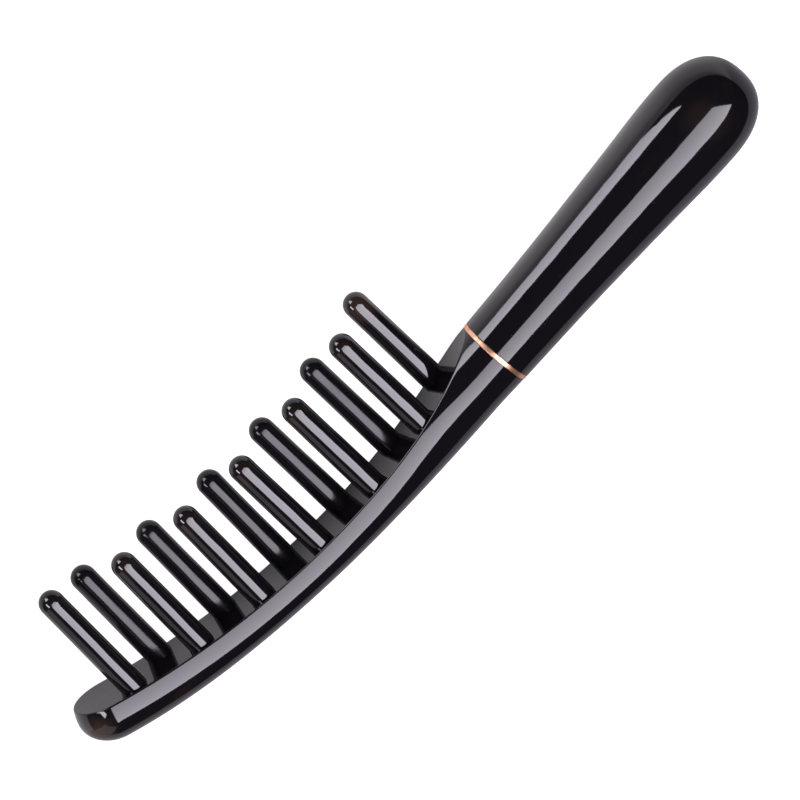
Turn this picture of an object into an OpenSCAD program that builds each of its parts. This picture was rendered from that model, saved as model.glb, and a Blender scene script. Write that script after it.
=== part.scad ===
/* [Head bar] */
// Length of the tooth face from its lowest point to the centre of the rounded end
end_run = 66.8; // [60:0.1:70]
// Half the thickness of the bar at its widest
head_half_t = 7.45; // [7.2:0.05:8]
// Radius of the bar where it meets the copper ring
head_neck_r = 7.9; // [7.8:0.05:8]
// How far behind the tooth face the bar is widest
widest_depth = 3.2; // [2.5:0.1:4]
// Half height of the ellipse that shapes the sides next to the tooth face
side_ellipse = 9.8; // [8.5:0.1:12]
// Size of the softened edge round the tooth face
edge_soft = 0.5; // [0.2:0.05:0.8]

/* [Tooth face] */
// Lowest point of the hollow tooth face, along the comb
face_low_x = -37.3; // [-42:0.1:-32]
// Height of that lowest point above the handle's axis
face_low_y = 2.05; // [1:0.05:3]
// Radius of the hollow towards the free end
face_end_r = 176; // [165:1:190]
// Radius of the hollow towards the ring
face_neck_r = 122; // [118:1:135]

/* [Back of the bar] */
// Place where the back stops being straight, along the comb
back_flat_x = -8; // [-12:0.5:-4]
// Height of the straight part, below the handle's axis
back_flat_y = -7.65; // [-7.8:0.05:-7.3]
// Radius of the long arc of the back
back_long_r = 450; // [420:5:480]
// Depth of the bar where it is thinnest
waist_depth = 8.1; // [7.9:0.05:8.4]
// Length of the tooth face from its lowest point to that waist
waist_run = 23; // [18:0.5:28]
// Depth of the bar at the free end
end_depth = 9.2; // [8.6:0.05:9.6]

/* [Teeth] */
// Number of teeth, taken turn and turn about by the two rows
tooth_count = 12; // [8:2:12]
// Foot of the first tooth, along the comb
tooth_first_x = -97.6; // [-99:0.1:-96]
// Step from one tooth to the next one, which stands in the other row
tooth_pitch = 7.73; // [7:0.01:7.8]
// Distance of each row from the middle plane
row_offset = 3.7; // [3.5:0.01:3.9]
// Tooth radius at the face
tooth_foot_r = 2.76; // [2.5:0.01:2.9]
// Tooth radius where the round tip begins
tooth_tip_r = 2.67; // [2.3:0.01:2.75]
// Length of a tooth above the face
tooth_len = 25.5; // [20:0.1:28]
// Extra length of the outermost tooth
first_tooth_extra = 1.5; // [0:0.1:2]
// Lean towards the handle of the half of the teeth near the free end, in degrees
lean_outer = 6.4; // [4:0.1:8]
// Lean towards the handle of the half of the teeth near the ring, in degrees
lean_inner = 4.3; // [2:0.1:6]

/* [Glued joints] */
// Depth of the shallow seat that takes a tooth's full width
seat_depth = 0.8; // [0.5:0.1:1]
// Radius of the tenon under a tooth
tenon_r = 2; // [1.6:0.05:2.1]
// Length of the tenon below its shoulder
tenon_len = 4; // [3:0.1:4.4]
// Gap that the glue fills all round
glue_gap = 0.02; // [0.01:0.01:0.05]
// Free depth at the bottom of a blind hole
hole_spare = 0.3; // [0.2:0.05:0.5]

/* [Ring and handle] */
// Width of the copper ring along the comb
ring_w = 1.1; // [0.8:0.1:1.5]
// Radius of the copper ring
ring_r = 8; // [7.9:0.05:8.1]
// Rounding of the ring's two rims
ring_edge = 0.15; // [0.1:0.05:0.25]
// Distance from the copper ring's middle to the butt
handle_reach = 74.4; // [65:0.1:90]
// Length of the rounded butt
butt_len = 14; // [12:0.5:16]
// Fullness of the butt, where 2 is an ellipse
butt_power = 2.4; // [2:0.1:2.8]
// Radius of the long hollow arc of the handle
flare_r = 1100; // [1000:10:1400]
// Slope of the handle where it leaves the ring, in degrees
flare_start = 1.15; // [0.8:0.05:1.3]
// Radius of the swell that leads into the butt
swell_r = 160; // [150:5:180]
// Length of that swell
swell_len = 10.5; // [9:0.5:12]

/* [Dowel] */
// Dowel radius
dowel_r = 2.5; // [2:0.1:2.6]
// How deep the dowel sits in the head bar
dowel_in_head = 8.2; // [6:0.1:8.4]
// How deep the dowel sits in the handle
dowel_in_handle = 16; // [10:0.5:20]
// Chamfer on the dowel's ends
dowel_chamfer = 0.5; // [0.3:0.1:0.8]

/* [Hidden] */
$fn = 64;

HORN = [0.06, 0.055, 0.06];
COPPER = [0.80, 0.50, 0.38];
WOOD = [0.72, 0.58, 0.40];
EPS = 0.01;

ring_half = ring_w / 2;

// ---------- outline of the bar, seen from the side ----------
// Height of the lower half of a circle at x
function circle_low(x, cx, cy, r) = cy - sqrt(max(0, r * r - (x - cx) * (x - cx)));

// Tooth face: two arcs that meet at the lowest point
function face_r(x) = x < face_low_x ? face_end_r : face_neck_r;
function face_y(x) = circle_low(x, face_low_x, face_low_y + face_r(x), face_r(x));

function clamp01(t) = min(1, max(0, t));
function smooth(t) = clamp01(t) * clamp01(t) * (3 - 2 * clamp01(t));

// A place on the bar is a run along the tooth face from its lowest point, positive
// towards the ring. Beyond the lowest point the sections stand square to the face's
// arc; on the ring's side they stand square to the handle's axis.
function run_angle(run) = run < 0 ? run / face_end_r * 180 / PI : 0;
function run_x(run) =
    run < 0 ? face_low_x + face_end_r * sin(run_angle(run)) : face_low_x + run;

// Point at height h over the tooth face (negative behind it) and z from the middle plane
function bar_point(run, h, z) =
    let (a = run_angle(run), x = run_x(run))
    [x - h * sin(a), face_y(x) + h * cos(a), z];

// Back on the ring's side: straight, then a long arc, with a small drop to the ring
neck_drop_x = -3;
function back_y(x) =
    (x > back_flat_x ? back_flat_y :
        circle_low(x, back_flat_x, back_flat_y + back_long_r, back_long_r))
    - (head_neck_r + back_flat_y) * smooth((x - neck_drop_x) / -neck_drop_x);

// Depth of the bar from face to back
low_depth = face_low_y - back_y(face_low_x);
function bar_depth(run) =
    run >= 0 ? face_y(run_x(run)) - back_y(run_x(run)) :
    run > -waist_run ? waist_depth + (low_depth - waist_depth) * pow(1 + run / waist_run, 2) :
    waist_depth + (end_depth - waist_depth) * smooth((-run - waist_run) / (end_run - waist_run));

// ---------- cross-section of the bar ----------
// Share of the round neck in the section: 0 along the bar, 1 at the ring
NECK_RUN = [3, 31];
function neck_share(run) = smooth((run - NECK_RUN[0]) / (NECK_RUN[1] - NECK_RUN[0]));

// The free end is a half turn of the section about a line square to the tooth face
function end_share(run) =
    run > -end_run ? 1 : sqrt(max(0, 1 - pow((run + end_run) / head_half_t, 2)));

function half_t(run) =
    (head_half_t + (head_neck_r - head_half_t) * neck_share(run)) * end_share(run);

// Height of the widest line over the tooth face: on the handle's axis at the neck
function widest_h(run) =
    -widest_depth + (widest_depth - face_y(run_x(run))) * neck_share(run);
function low_half(run) = (bar_depth(run) + widest_h(run)) * end_share(run);
function top_half(run) =
    (side_ellipse + (head_neck_r - side_ellipse) * neck_share(run)) * end_share(run);

// Half thickness of the side at height h
function side_z(run, h) =
    half_t(run) * sqrt(max(0, 1 - pow((h - widest_h(run)) / top_half(run), 2)));

// One section, from one edge of the tooth face round the back to the other
ARC_STEPS = 24;
SIDE_STEPS = 3;
function side_top(run) = min(-edge_soft, widest_h(run) + 0.98 * top_half(run));
function face_top(run) = side_top(run) + edge_soft * end_share(run);
function edge_z(run) = max(0, side_z(run, side_top(run)) - edge_soft * end_share(run));
function side_h(run, i) =
    side_top(run) + (widest_h(run) - side_top(run)) * i / SIDE_STEPS;
function section(run) = concat(
    [bar_point(run, face_top(run), edge_z(run))],
    [for (i = [0:SIDE_STEPS - 1])
        bar_point(run, side_h(run, i), side_z(run, side_h(run, i)))],
    [for (i = [0:ARC_STEPS])
        let (a = 180 * i / ARC_STEPS)
        bar_point(run, widest_h(run) - low_half(run) * sin(a), half_t(run) * cos(a))],
    [for (i = [SIDE_STEPS - 1:-1:0])
        bar_point(run, side_h(run, i), -side_z(run, side_h(run, i)))],
    [bar_point(run, face_top(run), -edge_z(run))]
);

// Stations along the bar: close together round the free end, even after that
END_STEPS = 10;
BAR_STEPS = 26;
FIRST_ANGLE = 6;
last_run = -ring_half - face_low_x;
stations = concat(
    [for (i = [0:END_STEPS - 1])
        -end_run - head_half_t * cos(FIRST_ANGLE + (90 - FIRST_ANGLE) * i / END_STEPS)],
    [for (i = [0:BAR_STEPS]) -end_run + (last_run + end_run) * i / BAR_STEPS]
);

module bar_loft() {
    n = len(section(stations[0]));
    m = len(stations);
    points = [for (run = stations) each section(run)];
    walls = [
        for (s = [0:m - 2]) for (i = [0:n - 1])
            let (j = (i + 1) % n)
            each [[s * n + i, s * n + j, (s + 1) * n + j],
                  [s * n + i, (s + 1) * n + j, (s + 1) * n + i]]
    ];
    polyhedron(points, concat(
        [[for (i = [n - 1:-1:0]) i]],
        walls,
        [[for (i = [0:n - 1]) (m - 1) * n + i]]
    ));
}

// ---------- teeth ----------
function tooth_x(k) = tooth_first_x + tooth_pitch * (k - 1);
function tooth_row(k) = k % 2 == 1 ? 1 : -1;
function tooth_lean(k) = k <= tooth_count / 2 ? lean_outer : lean_inner;
function tooth_length(k) = k == 1 ? tooth_len + first_tooth_extra : tooth_len;

// Puts children, drawn with +Z along the tooth and 0 at the face, at tooth k
module at_tooth(k) {
    translate([tooth_x(k), face_y(tooth_x(k)), tooth_row(k) * row_offset])
        rotate([0, 0, -tooth_lean(k)])
        rotate([-90, 0, 0])
        children();
}

TIP_STEPS = 10;
module tooth(k) {
    length = tooth_length(k);
    dome_z = length - tooth_tip_r;
    at_tooth(k)
        rotate_extrude()
        polygon(concat(
            [[0, -seat_depth - tenon_len],
             [tenon_r, -seat_depth - tenon_len],
             [tenon_r, -seat_depth],
             [tooth_foot_r, -seat_depth]],
            [for (i = [0:TIP_STEPS])
                let (a = 90 * i / TIP_STEPS)
                [tooth_tip_r * cos(a), dome_z + tooth_tip_r * sin(a)]]
        ));
}

// Blind hole under tooth k: a shallow wide seat and a deeper narrow hole
module tooth_hole(k) {
    deep = seat_depth + tenon_len + hole_spare;
    at_tooth(k) {
        translate([0, 0, -seat_depth])
            cylinder(r = tooth_foot_r + glue_gap, h = seat_depth + tooth_foot_r);
        translate([0, 0, -deep])
            cylinder(r = tenon_r + glue_gap, h = deep);
    }
}

// ---------- pieces on the handle's axis ----------
// Turns children, drawn with +Z along the comb, onto the +X axis
module along_x() {
    rotate([90, 0, 90]) children();
}

module dowel_hole(from_x, to_x) {
    translate([from_x, 0, 0])
        along_x()
        cylinder(r = dowel_r + glue_gap, h = to_x - from_x);
}

butt_x = handle_reach - butt_len;
swell_x = butt_x - swell_len;
flare_cx = -flare_r * sin(flare_start);
flare_cr = ring_r + flare_r * cos(flare_start);
function flare_y(x) = circle_low(x, flare_cx, flare_cr, flare_r);
bulb_r = flare_y(swell_x) + swell_r * (1 - sqrt(1 - pow(swell_len / swell_r, 2)));
function swell_y(x) =
    bulb_r - swell_r + sqrt(swell_r * swell_r - (butt_x - x) * (butt_x - x));

FLARE_STEPS = 14;
SWELL_STEPS = 4;
BUTT_STEPS = 16;
module handle_turning() {
    along_x()
        rotate_extrude($fn = 96)
        polygon(concat(
            [[0, ring_half]],
            [for (i = [0:FLARE_STEPS - 1])
                let (x = ring_half + (swell_x - ring_half) * i / FLARE_STEPS)
                [flare_y(x), x]],
            [for (i = [0:SWELL_STEPS - 1])
                let (x = swell_x + swell_len * i / SWELL_STEPS)
                [swell_y(x), x]],
            [for (i = [0:BUTT_STEPS])
                let (a = 90 * i / BUTT_STEPS)
                [bulb_r * pow(cos(a), 2 / butt_power),
                 butt_x + butt_len * pow(sin(a), 2 / butt_power)]]
        ));
}

// ---------- place of the whole comb ----------
// The origin is under the middle of the comb's box, on the surface it lies on
end_middle = bar_point(-end_run, widest_h(-end_run), 0);
end_angle = run_angle(-end_run);
head_end_x = end_middle[0]
    - norm([head_half_t * cos(end_angle), low_half(-end_run) * sin(end_angle)]);
first_tip_y = face_y(tooth_x(1)) + (tooth_length(1) - tooth_tip_r) * cos(lean_outer) + tooth_tip_r;
box_middle = [(head_end_x + handle_reach) / 2, (first_tip_y - bulb_r) / 2, -bulb_r];

module placed() {
    translate(-box_middle) children();
}

// ---------- the pieces ----------
module head_bar() {
    color(HORN)
        placed()
        difference() {
            bar_loft();
            for (k = [1:tooth_count]) tooth_hole(k);
            dowel_hole(-ring_half - dowel_in_head - hole_spare, -ring_half + EPS);
        }
}

module one_tooth(k) {
    color(HORN) placed() tooth(k);
}

module copper_ring() {
    color(COPPER)
        placed()
        along_x()
        rotate_extrude($fn = 96)
        polygon([
            [dowel_r + glue_gap, -ring_half],
            [ring_r - ring_edge, -ring_half],
            [ring_r, -ring_half + ring_edge],
            [ring_r, ring_half - ring_edge],
            [ring_r - ring_edge, ring_half],
            [dowel_r + glue_gap, ring_half]
        ]);
}

module handle() {
    color(HORN)
        placed()
        difference() {
            handle_turning();
            dowel_hole(ring_half - EPS, ring_half + dowel_in_handle + hole_spare);
        }
}

module handle_dowel() {
    low = -ring_half - dowel_in_head;
    high = ring_half + dowel_in_handle;
    color(WOOD)
        placed()
        along_x()
        rotate_extrude()
        polygon([
            [0, low],
            [dowel_r - dowel_chamfer, low],
            [dowel_r, low + dowel_chamfer],
            [dowel_r, high - dowel_chamfer],
            [dowel_r - dowel_chamfer, high],
            [0, high]
        ]);
}

head_bar();
copper_ring();
handle();
handle_dowel();
one_tooth(1);  // tooth_01
one_tooth(2);  // tooth_02
one_tooth(3);  // tooth_03
one_tooth(4);  // tooth_04
one_tooth(5);  // tooth_05
one_tooth(6);  // tooth_06
one_tooth(7);  // tooth_07
one_tooth(8);  // tooth_08
one_tooth(9);  // tooth_09
one_tooth(10);  // tooth_10
one_tooth(11);  // tooth_11
one_tooth(12);  // tooth_12
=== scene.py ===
"""Looks of a handled comb: a curved horn bar, two rows of round teeth, a copper ring and a turned handle."""

import logging
import math
from dataclasses import dataclass, field
from enum import Enum
from functools import cached_property
from typing import Any, Callable, Iterable, Sequence, Union

import bmesh
import bpy
from mathutils import Matrix, Vector


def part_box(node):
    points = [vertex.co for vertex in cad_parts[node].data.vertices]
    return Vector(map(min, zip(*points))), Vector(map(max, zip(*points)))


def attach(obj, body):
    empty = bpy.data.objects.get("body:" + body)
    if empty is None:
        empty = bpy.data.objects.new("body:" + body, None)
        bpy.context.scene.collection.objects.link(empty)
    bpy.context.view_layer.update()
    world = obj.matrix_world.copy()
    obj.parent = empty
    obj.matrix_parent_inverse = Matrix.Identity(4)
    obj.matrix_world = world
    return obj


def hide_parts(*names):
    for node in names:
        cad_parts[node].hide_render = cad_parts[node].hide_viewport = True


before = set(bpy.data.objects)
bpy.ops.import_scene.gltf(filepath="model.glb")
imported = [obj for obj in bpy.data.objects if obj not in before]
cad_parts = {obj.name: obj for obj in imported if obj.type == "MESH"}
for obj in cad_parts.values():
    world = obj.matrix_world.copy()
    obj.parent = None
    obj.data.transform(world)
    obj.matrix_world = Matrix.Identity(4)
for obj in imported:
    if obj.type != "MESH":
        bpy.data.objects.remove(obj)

MM = 0.001
TAU = 2 * math.pi
BODY = "root"

# The Mix node's sockets for colours: its two inputs and its result.
MIX_FIRST, MIX_SECOND, MIX_RESULT = 6, 7, 2

log = logging.getLogger("comb")


# ---------------------------------------------------------------- shader maths


class Value:
    """A number on a surface: wraps a socket, and its operators add Math nodes."""

    def __init__(self, bench: "Bench", socket: bpy.types.NodeSocket) -> None:
        """Keeps the bench that adds nodes, and the socket that holds the number."""
        self.bench = bench
        self.socket = socket

    def _math(self, operation: str, *others: "Number") -> "Value":
        """Adds one Math node.

        Args:
            operation: the Math node's operation.
            others: the values or numbers after this one.

        Returns:
            The node's result.
        """
        inputs = {0: self, **{i + 1: other for i, other in enumerate(others)}}
        return Value(self.bench, self.bench.node("ShaderNodeMath", {"operation": operation}, inputs))

    def __add__(self, other: "Number") -> "Value":
        """Sum."""
        return self._math("ADD", other)

    __radd__ = __add__

    def __mul__(self, other: "Number") -> "Value":
        """Product."""
        return self._math("MULTIPLY", other)

    __rmul__ = __mul__

    def __sub__(self, other: "Number") -> "Value":
        """Difference."""
        return self._math("SUBTRACT", other)

    def __rsub__(self, other: float) -> "Value":
        """Difference from a number."""
        return self * -1.0 + other

    def absolute(self) -> "Value":
        """Size without sign."""
        return self._math("ABSOLUTE")

    def limited(self) -> "Value":
        """Clamped between 0 and 1."""
        return self._math("MAXIMUM", 0.0)._math("MINIMUM", 1.0)

    def ramp(self, low: float, high: float) -> "Value":
        """Smooth step from 0 at low to 1 at high.

        Args:
            low: the value that gives 0.
            high: the value that gives 1, which may be below low.

        Returns:
            The step.
        """
        settings = {"interpolation_type": "SMOOTHSTEP"}
        inputs = {"Value": self, "From Min": low, "From Max": high}
        return Value(self.bench, self.bench.node("ShaderNodeMapRange", settings, inputs))


Number = Union[Value, float]
Colour = tuple[float, float, float]


class Bench:
    """A material, light or world being shaded: adds nodes and hands back their sockets."""

    def __init__(self, owner: Union[bpy.types.Material, bpy.types.Light, bpy.types.World]) -> None:
        """Clears the owner's nodes.

        Args:
            owner: what is shaded.
        """
        owner.use_nodes = True
        self.owner = owner
        self.tree = owner.node_tree
        self.tree.nodes.clear()

    def node(
        self,
        kind: str,
        settings: dict[str, Any],
        inputs: dict[Union[int, str], Any],
        output: Union[int, str] = 0,
    ) -> bpy.types.NodeSocket:
        """Adds any node.

        Args:
            kind: the node's type.
            settings: its own settings, set before its sockets.
            inputs: a value, a socket or a Value for each named or numbered socket.
            output: the output to hand back.

        Returns:
            The output socket.
        """
        made = self.tree.nodes.new(kind)
        for key, value in settings.items():
            setattr(made, key, value)
        for key, value in inputs.items():
            self._feed(made.inputs[key], value)
        return made.outputs[output]

    def _feed(self, socket: bpy.types.NodeSocket, value: Any) -> None:
        """Links or sets one input.

        Args:
            socket: the input.
            value: a Value, a socket, a number, a vector or a colour.
        """
        if isinstance(value, Value):
            value = value.socket
        if isinstance(value, bpy.types.NodeSocket):
            self.tree.links.new(value, socket)
        elif socket.type == "RGBA" and len(value) == 3:
            socket.default_value = (*value, 1.0)
        else:
            socket.default_value = value

    def place(self) -> bpy.types.NodeSocket:
        """Place on the object, in metres."""
        return self.node("ShaderNodeTexCoord", {}, {}, "Object")

    def stretched(self, scale: Colour, shift: Colour = (0.0, 0.0, 0.0)) -> bpy.types.NodeSocket:
        """Place multiplied along each axis, then shifted.

        Args:
            scale: the multiplier along X, Y and Z.
            shift: what is added afterwards.

        Returns:
            The vector.
        """
        settings = {"operation": "MULTIPLY_ADD"}
        return self.node("ShaderNodeVectorMath", settings, {0: self.place(), 1: scale, 2: shift})

    def even(self, scale: float, shift: Colour = (0.0, 0.0, 0.0)) -> bpy.types.NodeSocket:
        """Place multiplied by the same number along every axis, then shifted."""
        return self.stretched((scale,) * 3, shift)

    def axis(self, letter: str) -> Value:
        """One coordinate of the place, in metres.

        Args:
            letter: X, Y or Z.

        Returns:
            The coordinate.
        """
        return Value(self, self.node("ShaderNodeSeparateXYZ", {}, {0: self.place()}, letter))

    def distance(self, centre: Colour) -> Value:
        """Distance from a point, in metres.

        Args:
            centre: the point.

        Returns:
            The distance.
        """
        inputs = {0: self.place(), 1: centre}
        return Value(self, self.node("ShaderNodeVectorMath", {"operation": "DISTANCE"}, inputs, "Value"))

    def noise(self, vector: bpy.types.NodeSocket, detail: float = 2.0, distortion: float = 0.0) -> Value:
        """Soft noise at scale 1 of the vector.

        Args:
            vector: where it is read.
            detail: how many finer layers it has.
            distortion: how far it is pulled about.

        Returns:
            The noise, about 0 to 1.
        """
        inputs = {"Vector": vector, "Scale": 1.0, "Detail": detail, "Distortion": distortion}
        return Value(self, self.node("ShaderNodeTexNoise", {}, inputs, "Fac"))

    def specks(self, vector: bpy.types.NodeSocket) -> Value:
        """Distance to the nearest of scattered points, at scale 1 of the vector.

        Args:
            vector: where it is read.

        Returns:
            The distance.
        """
        inputs = {"Vector": vector, "Scale": 1.0}
        return Value(self, self.node("ShaderNodeTexVoronoi", {}, inputs, "Distance"))

    def mix(self, share: Number, first: Any, second: Any) -> bpy.types.NodeSocket:
        """Blends two colours.

        Args:
            share: how much of the second.
            first: the colour at 0.
            second: the colour at 1.

        Returns:
            The blend.
        """
        inputs = {"Factor": share, MIX_FIRST: first, MIX_SECOND: second}
        return self.node("ShaderNodeMix", {"data_type": "RGBA"}, inputs, MIX_RESULT)

    def bump(self, height: Value, depth: float) -> bpy.types.NodeSocket:
        """Normal of a surface pushed in and out.

        Args:
            height: the relief, 0 to 1.
            depth: what 1 means, in metres.

        Returns:
            The normal.
        """
        return self.node("ShaderNodeBump", {}, {"Height": height, "Strength": 1.0, "Distance": depth})

    def finish(self, **sockets: Any) -> bpy.types.Material:
        """Closes the material with one Principled shader.

        Args:
            sockets: its inputs, with _ for a space.

        Returns:
            The material.
        """
        inputs = {key.replace("_", " "): value for key, value in sockets.items()}
        self.close("ShaderNodeOutputMaterial", self.node("ShaderNodeBsdfPrincipled", {}, inputs))
        return self.owner

    def close(self, kind: str, shader: bpy.types.NodeSocket) -> None:
        """Links a shader to an output node.

        Args:
            kind: the output node's type.
            shader: what shows on the surface.
        """
        made = self.tree.nodes.new(kind)
        self.tree.links.new(shader, made.inputs["Surface"])


# ---------------------------------------------------------------- finishes


class Slot(Enum):
    """The record's material slots."""

    HEAD = "horn_head"
    TEETH = "horn_teeth"
    HANDLE = "horn_handle"
    COPPER = "copper"
    DOWEL = "dowel_wood"


class Grain(Enum):
    """Which way the fibres of the horn run, as the scale of the grain along X, Y and Z."""

    ALONG_COMB = (28.0, 420.0, 420.0)
    ALONG_TEETH = (420.0, 26.0, 420.0)


@dataclass(frozen=True)
class Cloud:
    """A patch where the brown of the horn shows through."""

    centre: Vector
    inner: float
    outer: float
    strength: float


@dataclass(frozen=True)
class HornFinish:
    """Polished near-black horn with faint brown fibres."""

    grain: Grain
    black: Colour = (0.0050, 0.0042, 0.0054)
    brown: Colour = (0.030, 0.0165, 0.0095)
    pale_brown: Colour = (0.085, 0.050, 0.030)
    fibre_share: float = 0.22
    fibre_band: tuple[float, float] = (0.52, 0.74)
    drift_scale: float = 34.0
    drift_band: tuple[float, float] = (0.42, 0.70)
    roughness: float = 0.055
    scuff: float = 0.035
    scuff_scale: float = 90.0
    scuff_band: tuple[float, float] = (0.35, 0.8)
    ior: float = 1.55
    ripple_scale: float = 150.0
    ripple_depth: float = 4.0e-5
    fine_scale: float = 4.0
    fine_share: float = 0.07
    speck_scale: float = 520.0
    speck_band: tuple[float, float] = (0.06, 0.02)
    speck_share: float = 0.2
    clouds: tuple[Cloud, ...] = ()
    cloud_rag_scale: float = 160.0

    def cloudiness(self, bench: Bench) -> Value:
        """Adds up the brown patches.

        Args:
            bench: the material being built.

        Returns:
            The share of pale brown, 0 to 1.
        """
        rag = bench.noise(bench.even(self.cloud_rag_scale), detail=4.0)
        total: Number = 0.0
        for cloud in self.clouds:
            near = bench.distance(tuple(cloud.centre)) + (rag - 0.5) * cloud.outer
            total = near.ramp(cloud.outer, cloud.inner) * cloud.strength + total
        return total if isinstance(total, Value) else rag * 0.0

    def make(self, name: str) -> bpy.types.Material:
        """Builds the material.

        Args:
            name: its name.

        Returns:
            The material.
        """
        bench = Bench(bpy.data.materials.new(name))
        fibres = bench.noise(bench.stretched(self.grain.value), detail=5.0, distortion=0.35)
        drift = bench.noise(bench.even(self.drift_scale, (3.1, 1.7, 0.4)), detail=2.0)
        fibre_mask = fibres.ramp(*self.fibre_band) * drift.ramp(*self.drift_band) * self.fibre_share
        colour = bench.mix(fibre_mask, self.black, self.brown)
        clouded = (self.cloudiness(bench) * (fibres * 0.8 + 0.45)).limited()
        colour = bench.mix(clouded, colour, self.pale_brown)

        smear = bench.noise(bench.even(self.scuff_scale, (0.0, 5.0, 2.0)), detail=3.0)
        roughness = smear.ramp(*self.scuff_band) * self.scuff + self.roughness

        ripple = bench.noise(bench.even(self.ripple_scale), detail=2.0, distortion=0.2)
        fine = bench.noise(bench.stretched(tuple(self.fine_scale * s for s in self.grain.value)), detail=2.0)
        specks = bench.specks(bench.even(self.speck_scale)).ramp(*self.speck_band)
        height = ripple + fine * self.fine_share - specks * self.speck_share
        return bench.finish(
            Base_Color=colour,
            Roughness=roughness,
            IOR=self.ior,
            Normal=bench.bump(height, self.ripple_depth),
        )


@dataclass(frozen=True)
class CopperFinish:
    """Polished copper with faint turning lines, warm stains and tarnished rims.

    Middle and half are the ring's middle and half width along the comb, in metres.
    """

    middle: float
    half: float
    bright: Colour = (0.97, 0.56, 0.36)
    stained: Colour = (0.60, 0.27, 0.16)
    tarnish: Colour = (0.16, 0.07, 0.045)
    stain_scale: float = 380.0
    stain_band: tuple[float, float] = (0.46, 0.66)
    stain_share: float = 0.85
    rim: float = 0.00022
    rim_share: float = 0.85
    roughness: float = 0.31
    relief: float = 3.0e-6

    def make(self, name: str) -> bpy.types.Material:
        """Builds the material.

        Args:
            name: its name.

        Returns:
            The material.
        """
        bench = Bench(bpy.data.materials.new(name))
        stain = bench.noise(bench.even(self.stain_scale), detail=4.0)
        turning = bench.noise(bench.stretched((9000.0, 240.0, 240.0)), detail=2.0)
        colour = bench.mix(stain.ramp(*self.stain_band) * self.stain_share, self.bright, self.stained)
        from_middle = (bench.axis("X") - self.middle).absolute() + (stain - 0.5) * (self.rim * 0.6)
        tarnished = from_middle.ramp(self.half - self.rim, self.half) * self.rim_share
        colour = bench.mix(tarnished, colour, self.tarnish)
        roughness = stain.ramp(0.3, 0.8) * 0.12 + turning * 0.05 + self.roughness
        return bench.finish(
            Base_Color=colour,
            Roughness=roughness,
            Metallic=1.0,
            Normal=bench.bump(turning + stain * 0.6, self.relief),
        )


@dataclass(frozen=True)
class WoodFinish:
    """Plain turned beech with fine pores."""

    light: Colour = (0.56, 0.38, 0.22)
    dark: Colour = (0.36, 0.21, 0.11)
    roughness: float = 0.55
    relief: float = 3.0e-5

    def make(self, name: str) -> bpy.types.Material:
        """Builds the material.

        Args:
            name: its name.

        Returns:
            The material.
        """
        bench = Bench(bpy.data.materials.new(name))
        rings = bench.noise(bench.stretched((30.0, 900.0, 900.0)), detail=4.0, distortion=0.5)
        pores = bench.noise(bench.stretched((400.0, 5200.0, 5200.0)), detail=2.0)
        colour = bench.mix(rings.ramp(0.3, 0.7) * 0.8 + pores.ramp(0.62, 0.75) * 0.2, self.light, self.dark)
        return bench.finish(
            Base_Color=colour,
            Roughness=pores * 0.1 + self.roughness,
            Normal=bench.bump(rings + pores * 0.7, self.relief),
        )


@dataclass(frozen=True)
class FloorFinish:
    """Plain pale studio floor: white to the camera, and a soft grey glow in the comb's reflections.

    The glow lies beside the comb, and each pair gives where it is out and where it is full, in metres.
    """

    pale: Colour = (0.36, 0.35, 0.35)
    fibre: Colour = (0.30, 0.30, 0.30)
    fibre_scale: float = 300.0
    fibre_share: float = 0.06
    glow: Colour = (1.0, 0.985, 0.985)
    camera_glow: float = 1.0
    near_glow: float = 0.62
    back_edge: tuple[float, float] = (-0.014, -0.002)
    front_edge: tuple[float, float] = (0.075, 0.004)
    ring_edge: tuple[float, float] = (0.004, 0.030)
    butt_edge: tuple[float, float] = (0.088, 0.066)
    handle_share: float = 0.4
    roughness: float = 0.8

    def make(self, name: str) -> bpy.types.Material:
        """Builds the material.

        Args:
            name: its name.

        Returns:
            The material.
        """
        bench = Bench(bpy.data.materials.new(name))
        fibres = bench.noise(bench.even(self.fibre_scale), detail=3.0)
        across, along = bench.axis("Y"), bench.axis("X")
        handle = along.ramp(*self.ring_edge) * along.ramp(*self.butt_edge)
        beside = handle * self.handle_share + (1.0 - self.handle_share)
        lit = across.ramp(*self.back_edge) * across.ramp(*self.front_edge) * beside
        seen = Value(bench, bench.node("ShaderNodeLightPath", {}, {}, "Is Camera Ray"))
        level = seen * self.camera_glow + (1.0 - seen) * lit * self.near_glow
        return bench.finish(
            Base_Color=bench.mix(fibres * self.fibre_share, self.pale, self.fibre),
            Roughness=self.roughness,
            Emission_Color=bench.mix(level, (0.0, 0.0, 0.0), self.glow),
            Emission_Strength=1.0,
        )


# ---------------------------------------------------------------- mesh work


@dataclass(frozen=True)
class Bed:
    """The comb's own axes: millimetres from the middle of the copper ring, turned into the row frame."""

    centre: Vector

    def at(self, x: float, y: float, z: float) -> Vector:
        """Point in the row frame, in metres, from millimetres along the comb, towards the tips and up."""
        return self.centre + Vector((x, y, z)) * MM


def smooth_step(t: float) -> float:
    """Smooth step of t, held between 0 and 1."""
    t = min(1.0, max(0.0, t))
    return t * t * (3 - 2 * t)


def circle_low(x: float, centre_x: float, centre_y: float, radius: float) -> float:
    """Height of a circle's lower half at x."""
    return centre_y - math.sqrt(max(0.0, radius**2 - (x - centre_x) ** 2))


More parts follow.
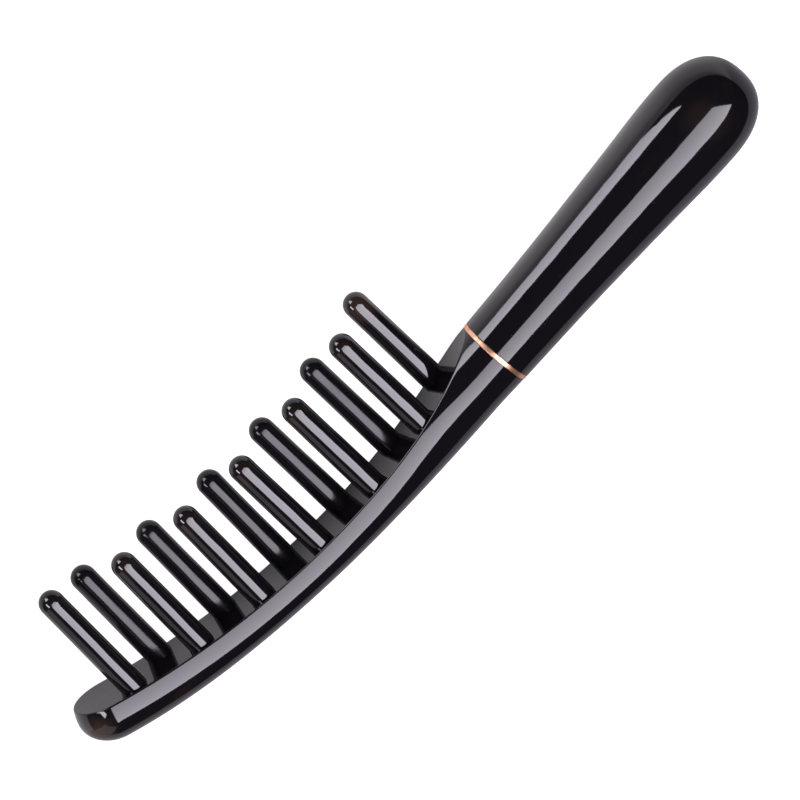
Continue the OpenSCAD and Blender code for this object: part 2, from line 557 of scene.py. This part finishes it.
def make_piece(name: str, mesh: bmesh.types.BMesh, finish: bpy.types.Material) -> bpy.types.Object:
    """Turns a finished bmesh into a smooth-shaded piece.

    Args:
        name: the piece's name.
        mesh: its mesh, which is freed.
        finish: its material.

    Returns:
        The piece.
    """
    bmesh.ops.recalc_face_normals(mesh, faces=mesh.faces)
    data = bpy.data.meshes.new(name)
    mesh.to_mesh(data)
    mesh.free()
    data.materials.append(finish)
    data.shade_smooth()
    piece = bpy.data.objects.new(name, data)
    bpy.context.scene.collection.objects.link(piece)
    return piece


def crease(piece: bpy.types.Object, degrees: float) -> None:
    """Marks edges sharper than an angle, so that they shade as edges.

    Args:
        piece: the piece.
        degrees: the angle.
    """
    mesh = bmesh.new()
    mesh.from_mesh(piece.data)
    limit = math.radians(degrees)
    for edge in mesh.edges:
        edge.smooth = not (edge.is_manifold and edge.calc_face_angle(0.0) > limit)
    mesh.to_mesh(piece.data)
    mesh.free()


@dataclass(frozen=True)
class Turning:
    """A shape turned on a lathe: a profile of (radius, height) points swept about an axis."""

    profile: Sequence[tuple[float, float]]
    sides: int
    hollow: bool = False
    wobble: Callable[[float, float], float] = lambda angle, height: 0.0

    def build(self, place: Callable[[float, float, float], Vector]) -> bmesh.types.BMesh:
        """Sweeps the profile.

        Args:
            place: turns (across, sideways, height) in millimetres into a point.

        Returns:
            The closed mesh.
        """
        mesh = bmesh.new()
        rings = [self._ring(mesh, place, radius, height) for radius, height in self.profile]
        if self.hollow:
            rings.append(rings[0])
        for low, high in zip(rings, rings[1:]):
            self._wall(mesh, low, high)
        return mesh

    def _ring(
        self,
        mesh: bmesh.types.BMesh,
        place: Callable[[float, float, float], Vector],
        radius: float,
        height: float,
    ) -> list[bmesh.types.BMVert]:
        """Adds one ring of points, or a single one on the axis.

        Args:
            mesh: the mesh being built.
            place: turns millimetres into a point.
            radius: the ring's radius.
            height: its height along the axis.

        Returns:
            The ring's vertices.
        """
        if radius <= 0:
            return [mesh.verts.new(place(0.0, 0.0, height))]
        angles = [TAU * i / self.sides for i in range(self.sides)]
        reach = [radius + self.wobble(angle, height) for angle in angles]
        return [
            mesh.verts.new(place(r * math.cos(angle), r * math.sin(angle), height))
            for r, angle in zip(reach, angles)
        ]

    def _wall(
        self,
        mesh: bmesh.types.BMesh,
        low: list[bmesh.types.BMVert],
        high: list[bmesh.types.BMVert],
    ) -> None:
        """Joins two rings with faces.

        Args:
            mesh: the mesh being built.
            low: one ring.
            high: the next one.
        """
        for i in range(self.sides):
            j = (i + 1) % self.sides
            if len(low) == 1:
                mesh.faces.new((low[0], high[i], high[j]))
            elif len(high) == 1:
                mesh.faces.new((low[i], high[0], low[j]))
            else:
                mesh.faces.new((low[i], high[i], high[j], low[j]))


def arc(
    centre: tuple[float, float], radius: float, start: float, end: float, steps: int
) -> list[tuple[float, float]]:
    """Points along an arc.

    Args:
        centre: its centre.
        radius: its radius.
        start: the first angle, in degrees.
        end: the last angle, in degrees.
        steps: the number of steps.

    Returns:
        The points, both ends included.
    """
    angles = [math.radians(start + (end - start) * i / steps) for i in range(steps + 1)]
    return [(centre[0] + radius * math.cos(a), centre[1] + radius * math.sin(a)) for a in angles]


# ---------------------------------------------------------------- teeth


class Half(Enum):
    """Which half of the teeth one belongs to, as its lean towards the handle, in degrees."""

    OUTER = 6.4
    INNER = 4.3


@dataclass(frozen=True)
class Tooth:
    """One round peg with a dome tip, a shoulder in its seat and a tenon under it. Sizes in millimetres.

    The shift along the comb and the reach beyond the frame's tip are how far the hand set it off the rule.
    """

    number: int
    half: Half
    shift: float = 0.0
    reach: float = 0.0
    foot_r: float = 2.76
    tip_r: float = 2.67
    tenon_r: float = 2.0
    tenon: float = 4.0
    tenon_edge: float = 0.2
    shoulder_edge: float = 0.08
    hand_wobble: float = 0.022
    shaft_steps: int = 26
    dome_steps: int = 14
    sides: int = 72

    @property
    def node(self) -> str:
        """Name of the CAD node."""
        return f"tooth_{self.number:02d}"

    @property
    def along(self) -> Vector:
        """Direction from foot to tip."""
        lean = math.radians(self.half.value)
        return Vector((math.sin(lean), math.cos(lean), 0.0))

    @cached_property
    def dome_centre(self) -> Vector:
        """Centre of the round tip, in the row frame."""
        low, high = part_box(self.node)
        even = Vector((high.x - self.tip_r * MM, high.y - self.tip_r * MM, (low.z + high.z) / 2))
        return even + Vector((self.shift, 0.0, 0.0)) * MM + self.along * (self.reach * MM)

    @property
    def crown(self) -> Vector:
        """Top of the tip's upper side, in the row frame."""
        return self.dome_centre + Vector((0.0, 0.0, self.tip_r)) * MM

    @cached_property
    def shank(self) -> float:
        """Length from the shoulder's underside to the dome's centre, in millimetres."""
        low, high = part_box(self.node)
        slope = math.radians(self.half.value)
        tall = (high.y - low.y) / MM - self.tip_r - self.tenon_r * math.sin(slope)
        return tall / math.cos(slope) - self.tenon + self.reach

    def profile(self) -> list[tuple[float, float]]:
        """Outline from the tenon's end to the tip, with height 0 at the dome's centre.

        Returns:
            Points of (radius, height).
        """
        foot, steps = -self.shank, self.shaft_steps
        low = foot + self.shoulder_edge
        taper = self.tip_r - self.foot_r
        shaft = [(self.foot_r + taper * i / steps, low - low * i / steps) for i in range(steps)]
        last = 90.0 * self.dome_steps / (self.dome_steps + 1)
        dome = arc((0.0, 0.0), self.tip_r, 0.0, last, self.dome_steps)
        return [
            (0.0, foot - self.tenon),
            (self.tenon_r - self.tenon_edge, foot - self.tenon),
            (self.tenon_r, foot - self.tenon + self.tenon_edge),
            (self.tenon_r, foot),
            (self.foot_r - self.shoulder_edge, foot),
            *shaft,
            *dome,
            (0.0, self.tip_r),
        ]

    def wobble(self, angle: float, height: float) -> float:
        """Slight unevenness left by hand shaping, in millimetres."""
        if height < 0.05 - self.shank:
            return 0.0
        phase = 1.7 * self.number
        long_wave = math.sin(0.33 * height + phase) * math.cos(2 * angle + phase)
        short_wave = math.sin(0.71 * height - 2 * phase) * math.cos(3 * angle - phase)
        fade = 1.0 - smooth_step(height / self.tip_r)
        return self.hand_wobble * fade * (0.7 * long_wave + 0.3 * short_wave - 0.6)

    def build(self, finish: bpy.types.Material) -> bpy.types.Object:
        """Turns the tooth and sets it where the frame says.

        Args:
            finish: its material.

        Returns:
            The piece.
        """
        centre, along = self.dome_centre, self.along
        side = Vector((along.y, -along.x, 0.0))
        up = Vector((0.0, 0.0, 1.0))
        turning = Turning(self.profile(), self.sides, wobble=self.wobble)
        mesh = turning.build(lambda a, b, h: centre + (side * a + up * b + along * h) * MM)
        piece = make_piece(f"{self.node}_peg", mesh, finish)
        crease(piece, 40.0)
        return piece


@dataclass(frozen=True)
class TeethRows:
    """The twelve teeth in two staggered rows, listed from the free end to the ring.

    The lower row is a little less polished, apart from the tooth by the ring. The teeth are glued in by
    hand, so some stand a few tenths of a millimetre off the even spacing and height.
    """

    count: int = 12
    shifts: tuple[float, ...] = (0.5, 0.0, 0.2, -0.25, -0.25, -0.25, -0.1, -0.2, 0.0, 0.0, 0.45, 0.2)
    reaches: tuple[float, ...] = (0.4, 0.2, 0.4, 0.0, 0.3, 0.0, 0.2, 0.0, 0.3, -0.1, 0.5, 0.0)
    brown_tips: tuple[float, ...] = (0.06, 0.0, 0.12, 0.0, 0.10, 0.0, 0.08, 0.0, 0.10, 0.0, 0.10, 0.30)
    brown_inner: float = 0.0008
    brown_outer: float = 0.0046
    ripple_depth: float = 1.8e-5

    def teeth(self) -> list[Tooth]:
        """The teeth, from the free end to the ring."""
        halves = [Half.OUTER] * (self.count // 2) + [Half.INNER] * (self.count // 2)
        rows = zip(halves, self.shifts, self.reaches)
        return [Tooth(k + 1, half, shift, reach) for k, (half, shift, reach) in enumerate(rows)]

    def clouds(self) -> tuple[Cloud, ...]:
        """Brown tips, strongest on the tooth by the ring."""
        return tuple(
            Cloud(tooth.crown, self.brown_inner, self.brown_outer, share)
            for tooth, share in zip(self.teeth(), self.brown_tips)
            if share > 0.0
        )

    def build(self) -> list[bpy.types.Object]:
        """Builds and dresses every tooth.

        Returns:
            The pieces.
        """
        shared = {"grain": Grain.ALONG_TEETH, "ripple_depth": self.ripple_depth}
        upper = HornFinish(**shared, clouds=self.clouds(), fibre_share=0.35, ior=1.62, roughness=0.045)
        lower = HornFinish(**shared, fibre_share=0.3, ior=1.44, roughness=0.13, scuff=0.10)
        bright, dull = upper.make("polished_horn_teeth"), lower.make("satin_horn_teeth")
        made = []
        for tooth in self.teeth():
            dim = tooth.number % 2 == 0 and tooth.number < self.count
            piece = tooth.build(dull if dim else bright)
            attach(piece, BODY)
            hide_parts(tooth.node)
            made.append(piece)
        return made


# ---------------------------------------------------------------- head bar


@dataclass(frozen=True)
class HeadBar:
    """The curved bar with its hollow tooth face.

    Sizes in millimetres, from the middle of the copper ring. A run is a distance along the face from its
    lowest point, negative towards the free end.
    """

    bed: Bed
    low_x: float = -37.3
    low_y: float = 2.2
    end_r: float = 176.0
    neck_arc_r: float = 122.0
    end_run: float = 66.5
    half_t: float = 7.7
    neck_r: float = 7.9
    widest: float = 3.2
    side_ellipse: float = 9.8
    edge_r: float = 0.3
    back_flat_x: float = -8.0
    back_flat_y: float = -7.65
    back_long_r: float = 450.0
    waist_depth: float = 8.25
    waist_run: float = 23.0
    end_depth: float = 9.35
    neck_from: float = 3.0
    neck_to: float = 31.0
    neck_drop_x: float = -8.0
    ring_half: float = 0.55
    stations: int = 150
    cap_steps: int = 44
    face_steps: tuple[float, ...] = (0.0, 0.2, 0.4, 0.6, 0.75, 0.87, 0.95, 0.985)
    flank_steps: tuple[float, ...] = (0.03, 0.1, 0.22, 0.36, 0.52, 0.68, 0.84)
    rim_steps: int = 8
    belly_steps: int = 26

    # ----- outline, seen from the side

    def run_angle(self, run: float) -> float:
        """Turn of the section at a run, in radians."""
        return run / self.end_r if run < 0 else 0.0

    def run_x(self, run: float) -> float:
        """Place of a run along the comb."""
        return self.low_x + (self.end_r * math.sin(self.run_angle(run)) if run < 0 else run)

    def face_y(self, x: float) -> float:
        """Height of the tooth face at x."""
        radius = self.end_r if x < self.low_x else self.neck_arc_r
        return circle_low(x, self.low_x, self.low_y + radius, radius)

    def back_y(self, x: float) -> float:
        """Height of the back at x, on the ring's side."""
        line = self.back_flat_y
        if x < self.back_flat_x:
            line = circle_low(x, self.back_flat_x, self.back_flat_y + self.back_long_r, self.back_long_r)
        drop = smooth_step((x - self.neck_drop_x) / -self.neck_drop_x)
        return line - (self.neck_r + self.back_flat_y) * drop

    def depth(self, run: float) -> float:
        """Depth from face to back.

        Args:
            run: distance along the face from its lowest point.

        Returns:
            The depth.
        """
        if run >= 0:
            return self.face_y(self.run_x(run)) - self.back_y(self.run_x(run))
        low = self.face_y(self.low_x) - self.back_y(self.low_x)
        if run > -self.waist_run:
            return self.waist_depth + (low - self.waist_depth) * (1 + run / self.waist_run) ** 2
        t = (-run - self.waist_run) / (self.end_run - self.waist_run)
        return self.waist_depth + (self.end_depth - self.waist_depth) * smooth_step(t)

    def neck_share(self, run: float) -> float:
        """Share of the round neck in the section."""
        return smooth_step((run - self.neck_from) / (self.neck_to - self.neck_from))

    def point(self, run: float, height: float, z: float) -> Vector:
        """Point at a height over the tooth face, in the row frame.

        Args:
            run: distance along the face from its lowest point.
            height: height over the face, negative behind it.
            z: distance from the middle plane.

        Returns:
            The point, in metres.
        """
        angle, x = self.run_angle(run), self.run_x(run)
        base = self.low_y + self.end_r - self.end_r * math.cos(angle) if run < 0 else self.face_y(x)
        return self.bed.at(x - height * math.sin(angle), base + height * math.cos(angle), z)

    # ----- cross-section

    def half_section(self, run: float) -> list[tuple[float, float]]:
        """Half of a section, from the middle of the tooth face round the side to the middle of the back.

        Args:
            run: distance along the face from its lowest point.

        Returns:
            Points of (height over the face, distance from the middle plane).
        """
        neck = self.neck_share(run)
        wide = self.half_t + (self.neck_r - self.half_t) * neck
        middle = -self.widest + (self.widest - self.face_y(self.run_x(run))) * neck
        top = self.side_ellipse + (self.neck_r - self.side_ellipse) * neck
        low = self.depth(run) + middle

        def side(height: float) -> float:
            return wide * math.sqrt(max(0.0, 1 - ((height - middle) / top) ** 2))

        corner, soft = side(0.0), self.edge_r
        face = [(0.0, (corner - soft) * t) for t in self.face_steps]
        rim = [self._rim_point(corner, side(-soft), t / self.rim_steps) for t in range(self.rim_steps + 1)]
        heights = [(middle + soft) * t - soft for t in self.flank_steps]
        flank = [(height, side(height)) for height in heights]
        angles = [math.pi / 2 * i / self.belly_steps for i in range(self.belly_steps)]
        belly = [(middle - low * math.sin(a), wide * math.cos(a)) for a in angles]
        return [*face, *rim, *flank, *belly, (middle - low, 0.0)]

    def _rim_point(self, corner: float, side_z: float, t: float) -> tuple[float, float]:
        """Point on the rounded rim between the face and the side.

        Args:
            corner: where the sharp corner would be.
            side_z: half thickness where the rounding ends.
            t: place along the rounding, 0 to 1.

        Returns:
            (height, distance from the middle plane).
        """
        soft = self.edge_r
        first, second, third = (1 - t) ** 2, 2 * t * (1 - t), t * t
        return -soft * third, first * (corner - soft) + second * corner + third * side_z

    # ----- mesh

    def solid(self) -> bmesh.types.BMesh:
        """Lofts the bar and turns its rounded end.

        Returns:
            The closed mesh.
        """
        mesh = bmesh.new()
        last = -self.ring_half - self.low_x
        runs = [-self.end_run + (last + self.end_run) * i / self.stations for i in range(self.stations + 1)]
        loops = [self._loop(mesh, run) for run in runs]
        for one, two in zip(loops, loops[1:]):
            self._strip(mesh, one, two, closed=True)
        mesh.faces.new(loops[-1])
        self._cap(mesh, loops[0])
        return mesh

    def _loop(self, mesh: bmesh.types.BMesh, run: float) -> list[bmesh.types.BMVert]:
        """Adds one closed section.

        Args:
            mesh: the mesh being built.
            run: where it stands.

        Returns:
            Its vertices, from the middle of the face round the upper side, the back and the lower side.
        """
        half = self.half_section(run)
        upper = [mesh.verts.new(self.point(run, h, z)) for h, z in half]
        lower = [mesh.verts.new(self.point(run, h, -z)) for h, z in half[-2:0:-1]]
        return [*upper, *lower]

    @staticmethod
    def _strip(
        mesh: bmesh.types.BMesh,
        one: list[bmesh.types.BMVert],
        two: list[bmesh.types.BMVert],
        closed: bool,
    ) -> None:
        """Joins two rows of vertices with faces.

        Args:
            mesh: the mesh being built.
            one: the first row.
            two: the second row, which may share its end vertices with the first.
            closed: whether the rows close on themselves.
        """
        count = len(one)
        for i in range(count if closed else count - 1):
            j = (i + 1) % count
            corners = list(dict.fromkeys((one[i], two[i], two[j], one[j])))
            mesh.faces.new(corners)

    def _cap(self, mesh: bmesh.types.BMesh, loop: list[bmesh.types.BMVert]) -> None:
        """Turns the half section about a line square to the face, to round the free end.

        Args:
            mesh: the mesh being built.
            loop: the section that the cap grows from.
        """
        half = self.half_section(-self.end_run)
        count = len(half)
        upper = loop[:count]
        lower = [loop[0], *reversed(loop[count:]), loop[count - 1]]
        columns = [upper]
        for step in range(1, self.cap_steps):
            angle = math.pi / 2 - math.pi * step / self.cap_steps
            middle = [
                mesh.verts.new(self.point(-self.end_run - z * math.cos(angle), h, z * math.sin(angle)))
                for h, z in half[1:-1]
            ]
            columns.append([upper[0], *middle, upper[-1]])
        columns.append(lower)
        for one, two in zip(columns, columns[1:]):
            self._strip(mesh, one, two, closed=False)

    def clouds(self) -> tuple[Cloud, ...]:
        """Brown patch on the rounded end."""
        return (Cloud(self.point(-self.end_run - 4.5, -4.2, 5.0), 0.0012, 0.0046, 0.42),)

    def build(self) -> bpy.types.Object:
        """Builds and dresses the bar.

        Returns:
            The piece.
        """
        finish = HornFinish(Grain.ALONG_COMB, clouds=self.clouds()).make("polished_horn_head")
        piece = make_piece("head_bar_carved", self.solid(), finish)
        crease(piece, 50.0)
        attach(piece, BODY)
        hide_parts("head_bar")
        return piece


# ---------------------------------------------------------------- ring, handle and dowel


def along_comb(bed: Bed) -> Callable[[float, float, float], Vector]:
    """Places a turning on the handle's axis, with its height along the comb."""
    return lambda across, sideways, height: bed.at(height, across, sideways)


@dataclass(frozen=True)
class CopperRing:
    """The thin copper ring, with softly rounded rims. Sizes in millimetres."""

    bed: Bed
    bore_r: float = 2.52
    edge: float = 0.16
    crown: float = 0.03
    sides: int = 192

    def build(self) -> bpy.types.Object:
        """Builds and dresses the ring.

        Returns:
            The piece.
        """
        low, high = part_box("copper_ring")
        half, radius = (high.x - low.x) / 2 / MM, (high.z - low.z) / 2 / MM
        shoulder = radius - self.crown
        profile = [
            (self.bore_r, -half),
            (radius - 1.2, -half),
            *arc((shoulder - self.edge, self.edge - half), self.edge, -90.0, 0.0, 6),
            (radius, 0.0),
            *arc((shoulder - self.edge, half - self.edge), self.edge, 0.0, 90.0, 6),
            (radius - 1.2, half),
            (self.bore_r, half),
        ]
        mesh = Turning(profile, self.sides, hollow=True).build(along_comb(self.bed))
        finish = CopperFinish(self.bed.centre.x, half * MM).make("polished_copper")
        piece = make_piece("copper_ring_band", mesh, finish)
        crease(piece, 50.0)
        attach(piece, BODY)
        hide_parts("copper_ring")
        return piece


@dataclass(frozen=True)
class Handle:
    """The turned handle with its full, rounded butt. Sizes in millimetres."""

    bed: Bed
    ring_half: float = 0.55
    neck_r: float = 8.0
    flare_r: float = 1100.0
    flare_start: float = 1.15
    swell_r: float = 160.0
    swell_len: float = 10.5
    butt_len: float = 14.0
    butt_power: float = 2.4
    joint_edge: float = 0.06
    hand_wobble: float = 0.018
    shaft_steps: int = 110
    butt_steps: int = 64
    sides: int = 192

    @cached_property
    def butt_x(self) -> float:
        """Where the butt begins."""
        return (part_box("handle")[1].x - self.bed.centre.x) / MM - self.butt_len

    @cached_property
    def bulb_r(self) -> float:
        """Radius at the fullest place."""
        low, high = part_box("handle")
        return (high.z - low.z) / 2 / MM

    def radius(self, x: float) -> float:
        """Radius before the butt.

        Args:
            x: place along the handle.

        Returns:
            The radius.
        """
        start = math.radians(self.flare_start)
        flare_x, flare_y = -self.flare_r * math.sin(start), self.neck_r + self.flare_r * math.cos(start)
        if x < self.butt_x - self.swell_len:
            return circle_low(x, flare_x, flare_y, self.flare_r)
        return self.bulb_r - self.swell_r + math.sqrt(self.swell_r**2 - (self.butt_x - x) ** 2)

    def profile(self) -> list[tuple[float, float]]:
        """Outline from the ring to the butt.

        Returns:
            Points of (radius, place along the handle).
        """
        steps, power = self.shaft_steps, 2 / self.butt_power
        first = self.ring_half + self.joint_edge
        shaft = [first + (self.butt_x - first) * i / steps for i in range(steps)]
        angles = [math.pi / 2 * i / self.butt_steps for i in range(self.butt_steps)]
        butt = [
            (self.bulb_r * math.cos(a) ** power, self.butt_x + self.butt_len * math.sin(a) ** power)
            for a in angles
        ]
        return [
            (0.0, self.ring_half),
            (self.radius(first) - 1.0, self.ring_half),
            (self.radius(first) - self.joint_edge, self.ring_half),
            *((self.radius(x), x) for x in shaft),
            *butt,
            (0.0, self.butt_x + self.butt_len),
        ]

    def wobble(self, angle: float, height: float) -> float:
        """Slight unevenness left by hand polishing, in millimetres."""
        start = smooth_step((height - self.ring_half - 1.0) / 8)
        wave = math.sin(0.21 * height + 0.6) * math.cos(2 * angle + 0.9)
        ripple = math.sin(0.63 * height) * math.cos(5 * angle + 0.3 * height)
        return self.hand_wobble * start * (0.75 * wave + 0.25 * ripple - 1.0)

    def clouds(self) -> tuple[Cloud, ...]:
        """Faint brown cloud near the butt."""
        return (Cloud(self.bed.at(self.butt_x + 3.0, 1.5, self.bulb_r), 0.001, 0.0062, 0.10),)

    def build(self) -> bpy.types.Object:
        """Builds and dresses the handle.

        Returns:
            The piece.
        """
        turning = Turning(self.profile(), self.sides, wobble=self.wobble)
        finish = HornFinish(Grain.ALONG_COMB, clouds=self.clouds()).make("polished_horn_handle")
        piece = make_piece("handle_turned", turning.build(along_comb(self.bed)), finish)
        crease(piece, 30.0)
        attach(piece, BODY)
        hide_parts("handle")
        return piece


@dataclass(frozen=True)
class Dowel:
    """The hidden dowel: its CAD solid stays, in plain turned wood."""

    node: str = "handle_dowel"

    def dress(self) -> bpy.types.Object:
        """Gives the CAD solid its wood.

        Returns:
            The piece.
        """
        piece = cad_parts[self.node]
        finish = WoodFinish().make("turned_beech")
        piece.data.materials.clear()
        piece.data.materials.append(finish)
        return piece


# ---------------------------------------------------------------- studio


@dataclass(frozen=True)
class Softbox:
    """One studio light, aimed at a point. Sizes in metres.

    The slope makes the upper edge brighter than the lower one, or darker below 0. Left and right are where
    the light starts and ends along its width, from 0 to 1, at its lower and at its upper edge.
    """

    name: str
    centre: Vector
    aim: Vector
    width: float
    height: float
    radiance: float
    slope: float = 0.0
    left: tuple[float, float] = (0.0, 0.0)
    right: tuple[float, float] = (1.0, 1.0)
    along: Vector = field(default_factory=lambda: Vector((1.0, 0.0, 0.0)))
    tint: Colour = (0.925, 0.89, 1.0)
    blur: float = 0.012

    def build(self) -> bpy.types.Object:
        """Hangs the light, with its width along its own axis.

        Returns:
            The light.
        """
        data = bpy.data.lights.new(self.name, "AREA")
        data.shape = "RECTANGLE"
        data.size, data.size_y = self.width, self.height
        data.energy = self.radiance * math.pi * self.width * self.height
        data.color = self.tint
        self._shade(data)
        light = bpy.data.objects.new(self.name, data)
        back = (self.centre - self.aim).normalized()
        across = (self.along - back * self.along.dot(back)).normalized()
        turn = Matrix((across, back.cross(across), back)).transposed().to_4x4()
        light.matrix_world = Matrix.Translation(self.centre) @ turn
        light.visible_camera = False
        bpy.context.scene.collection.objects.link(light)
        return light

    def _shade(self, data: bpy.types.AreaLight) -> None:
        """Makes one long edge brighter than the other, and cuts the short edges aslant.

        Args:
            data: the light.
        """
        bench = Bench(data)
        place = bench.node("ShaderNodeNewGeometry", {}, {}, "Parametric")
        across = Value(bench, bench.node("ShaderNodeSeparateXYZ", {}, {0: place}, "X"))
        up = Value(bench, bench.node("ShaderNodeSeparateXYZ", {}, {0: place}, "Y"))
        from_left = across - (up * (self.left[1] - self.left[0]) + self.left[0])
        from_right = (up * (self.right[1] - self.right[0]) + self.right[0]) - across
        cut = from_left.ramp(-self.blur, self.blur) * from_right.ramp(-self.blur, self.blur)
        strength = cut * (up * (2 * self.slope) + (1.0 - self.slope))
        bench.close("ShaderNodeOutputLight", bench.node("ShaderNodeEmission", {}, {"Strength": strength}))


@dataclass(frozen=True)
class Studio:
    """Plain pale floor, soft lights and the camera.

    Sizes in metres, but the lens and its sensor in millimetres and the roll in degrees. The view points from
    the comb to the camera, and the camera looks at a place in the comb's own millimetres.
    """

    bed: Bed
    view: Vector = field(default_factory=lambda: Vector((0.10, 0.345, 0.932)).normalized())
    look_at: Vector = field(default_factory=lambda: Vector((-19.63, 8.22, -0.71)))
    roll: float = 49.0
    lens: float = 1000.0
    sensor: float = 36.0
    frame_width: float = 0.1590
    floor_half: float = 3.0
    floor_cells: int = 8
    floor_gap: float = 0.00005
    dark_room: Colour = (0.02, 0.02, 0.022)
    backdrop: Colour = (0.97, 0.97, 0.97)

    def floor(self) -> bpy.types.Object:
        """Lays the floor under the comb.

        Returns:
            The floor.
        """
        mesh = bmesh.new()
        cells = self.floor_cells
        bmesh.ops.create_grid(mesh, x_segments=cells, y_segments=cells, size=self.floor_half)
        bmesh.ops.translate(mesh, verts=mesh.verts, vec=(0.0, 0.0, -self.floor_gap))
        piece = make_piece("studio_floor", mesh, FloorFinish().make("pale_floor"))
        return piece

    def lights(self) -> list[bpy.types.Object]:
        """Hangs a long box overhead, one low by the tips, a small spot and a dim wall past the free end.

        Returns:
            The lights.
        """
        hub = self.bed.centre
        over, side = Vector((0.21, -0.141, 0.904)), Vector((-0.16, 0.803, 0.108))
        spot, wall = Vector((-0.398, 0.240, 0.380)), Vector((-0.56, -0.205, 0.195))
        under_over, behind_side = Vector((over.x, over.y, 0.0)), Vector((side.x, 0.0, side.z))
        spot_along, wall_along = Vector((0.025, 0.870, -0.493)), Vector((0.35, -0.94, 0.0))
        boxes = [
            Softbox("overhead", hub + over, hub + under_over, width=1.38, height=0.65, radiance=6.4,
                    slope=-0.26, left=(0.0, 0.203), right=(1.0, 0.624)),
            Softbox("low_side", hub + side, hub + behind_side, width=0.43, height=0.50, radiance=6.8,
                    slope=-0.25, left=(0.0, 0.45), right=(1.0, 0.55)),
            Softbox("end_spot", hub + spot, hub, width=0.36, height=0.11, radiance=10.0, along=spot_along),
            Softbox("end_wall", hub + wall, hub, width=0.40, height=0.40, radiance=0.55, along=wall_along,
                    tint=(1.0, 0.88, 0.90)),
        ]
        return [box.build() for box in boxes]

    def world(self) -> None:
        """Dark room for reflections, pale backdrop where the camera sees past the floor."""
        world = bpy.data.worlds.new("studio")
        bpy.context.scene.world = world
        bench = Bench(world)
        seen = bench.node("ShaderNodeLightPath", {}, {}, "Is Camera Ray")
        colour = bench.mix(Value(bench, seen), self.dark_room, self.backdrop)
        bench.close("ShaderNodeOutputWorld", bench.node("ShaderNodeBackground", {}, {"Color": colour}))

    def camera(self) -> bpy.types.Object:
        """Sets the camera.

        Returns:
            The camera.
        """
        data = bpy.data.cameras.new("camera")
        data.lens, data.sensor_width = self.lens, self.sensor
        data.dof.use_dof = False
        data.clip_start, data.clip_end = 0.01, 20.0
        camera = bpy.data.objects.new("camera", data)
        distance = self.frame_width * self.lens / self.sensor
        level = Vector((1.0, 0.0, 0.0))
        level = (level - self.view * level.dot(self.view)).normalized()
        over = self.view.cross(level)
        turn = math.radians(self.roll)
        right = level * math.cos(turn) - over * math.sin(turn)
        up = level * math.sin(turn) + over * math.cos(turn)
        target = self.bed.at(*self.look_at)
        facing = Matrix((right, up, self.view)).transposed().to_4x4()
        camera.matrix_world = Matrix.Translation(target + self.view * distance) @ facing
        bpy.context.scene.collection.objects.link(camera)
        bpy.context.scene.camera = camera
        return camera

    def build(self) -> None:
        """Sets up the whole studio."""
        self.floor()
        self.lights()
        self.world()
        self.camera()
        settings = bpy.context.scene.view_settings
        settings.view_transform = "Standard"
        settings.look = "None"


# ---------------------------------------------------------------- the comb


def main() -> None:
    """Builds the comb and the studio around the frame."""
    logging.basicConfig(level=logging.INFO, format="%(name)s: %(message)s")
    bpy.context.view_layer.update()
    low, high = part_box("copper_ring")
    bed = Bed((low + high) / 2)
    pieces = [HeadBar(bed).build(), *TeethRows().build(), CopperRing(bed).build()]
    pieces += [Handle(bed).build(), Dowel().dress()]
    for piece in pieces:
        log.info("%s: %d faces", piece.name, len(piece.data.polygons))
    Studio(bed).build()


if __name__ == "__main__":
    main()
